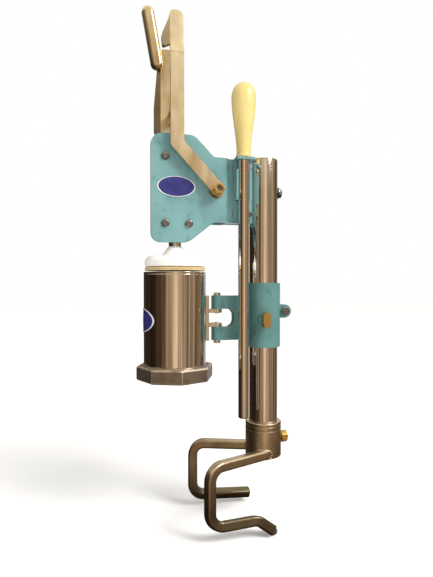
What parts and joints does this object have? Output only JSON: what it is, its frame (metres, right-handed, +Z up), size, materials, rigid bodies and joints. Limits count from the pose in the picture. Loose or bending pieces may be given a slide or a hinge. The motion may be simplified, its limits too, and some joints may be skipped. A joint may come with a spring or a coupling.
{
  "type": "lever dough press",
  "caption": "Lever press on a chrome column with two table hooks; a rack-driven piston pushes dough down a removable-nozzle barrel.",
  "frame": {"origin": "column axis at the plane where the foot rests on the table top", "axes": "+Z up the column, -X towards the barrel, -Y towards the operator's front"},
  "size_m": [0.2078, 0.1142, 0.6788],
  "materials": {
    "chrome": "mirror polished chrome plate",
    "satin_nickel": "satin nickel plate",
    "teal_paint": "glossy stove enamel",
    "lever_metal": "polished nickel with a warm tint",
    "bright_steel": "zinc plated",
    "brass": "turned brass",
    "nut_alloy": "dull tumbled casting",
    "white_nylon": "turned nylon",
    "cream_seal": "food grade rubber",
    "cream_plastic": "moulded, glossy",
    "badge_enamel": "domed enamel, plain"
  },
  "bodies": {
    "frame": {"column_tube": "chrome", "column_top_plug": "chrome", "neck_through_bolt": "bright_steel", "foot_collar": "satin_nickel", "front_hook": "satin_nickel", "rear_hook": "satin_nickel", "head_front_plate": "teal_paint", "head_rear_plate": "teal_paint", "neck_block": "teal_paint", "neck_screws": "bright_steel", "rod_guide_block": "teal_paint", "upper_spacer_block": "teal_paint", "rod_guide_bush": "brass", "head_bolts": "bright_steel", "head_nuts": "bright_steel", "pivot_bushes": "brass", "head_badge": "badge_enamel", "rod_clip": "teal_paint", "clip_screws": "bright_steel"},
    "lever": {"front_lever_arm": "lever_metal", "rear_lever_arm": "lever_metal", "lever_spacer_tube": "lever_metal", "lever_spacer_pin": "bright_steel", "pivot_shaft": "bright_steel", "pivot_nuts": "brass", "sector_gear": "bright_steel"},
    "piston": {"piston_rod": "chrome", "piston_head": "white_nylon", "piston_seal": "cream_seal", "seal_clamp_plate": "bright_steel", "piston_screw": "bright_steel"},
    "bracket": {"column_bracket": "teal_paint", "bracket_clamp_bolt": "bright_steel", "bracket_clamp_nut": "bright_steel", "barrel_tube": "chrome", "barrel_hinge_leaf": "chrome", "barrel_hinge_pins": "chrome", "barrel_badge": "badge_enamel"},
    "thumb_screw": {"bracket_thumb_screw": "brass"},
    "ring_nut": {"ring_nut": "nut_alloy", "die_plate": "bright_steel"},
    "hand_rod": {"hand_rod": "chrome", "rod_handle": "cream_plastic"},
    "foot_screw": {"foot_set_screw": "brass"},
    "hook_screw": {"hook_tip_screw": "bright_steel"}
  },
  "joints": [
    {"name": "lever_swing", "type": "hinge", "parent": "frame", "child": "lever", "pos_m": [-0.0705, 0, 0.35], "axis": [0, -1, 0], "range_deg": [0, 85]},
    {"name": "piston_slide", "type": "slide", "parent": "frame", "child": "piston", "axis": [0, 0, -1], "range_m": [0, 0.0668]},
    {"name": "bracket_slide", "type": "slide", "parent": "frame", "child": "bracket", "axis": [0, 0, 1], "range_m": [-0.09, 0]},
    {"name": "ring_nut_turn", "type": "hinge", "parent": "bracket", "child": "ring_nut", "pos_m": [-0.121, 0, 0.118], "axis": [0, 0, 1], "continuous": true},
    {"name": "thumb_screw_turn", "type": "hinge", "parent": "bracket", "child": "thumb_screw", "pos_m": [-0.007, 0, 0.184], "axis": [0, -1, 0], "continuous": true},
    {"name": "hand_rod_slide", "type": "slide", "parent": "frame", "child": "hand_rod", "axis": [0, 0, 1], "range_m": [0, 0.27]},
    {"name": "foot_screw_turn", "type": "hinge", "parent": "frame", "child": "foot_screw", "pos_m": [0, 0, 0.022], "axis": [1, 0, 0], "continuous": true},
    {"name": "hook_screw_turn", "type": "hinge", "parent": "frame", "child": "hook_screw", "pos_m": [-0.006, -0.05, -0.07875], "axis": [0.8, 0, -0.6], "continuous": true}
  ],
  "couplings": [
    {"joint": "piston_slide", "follows": "lever_swing", "m_per_rad": 0.045}
  ]
}
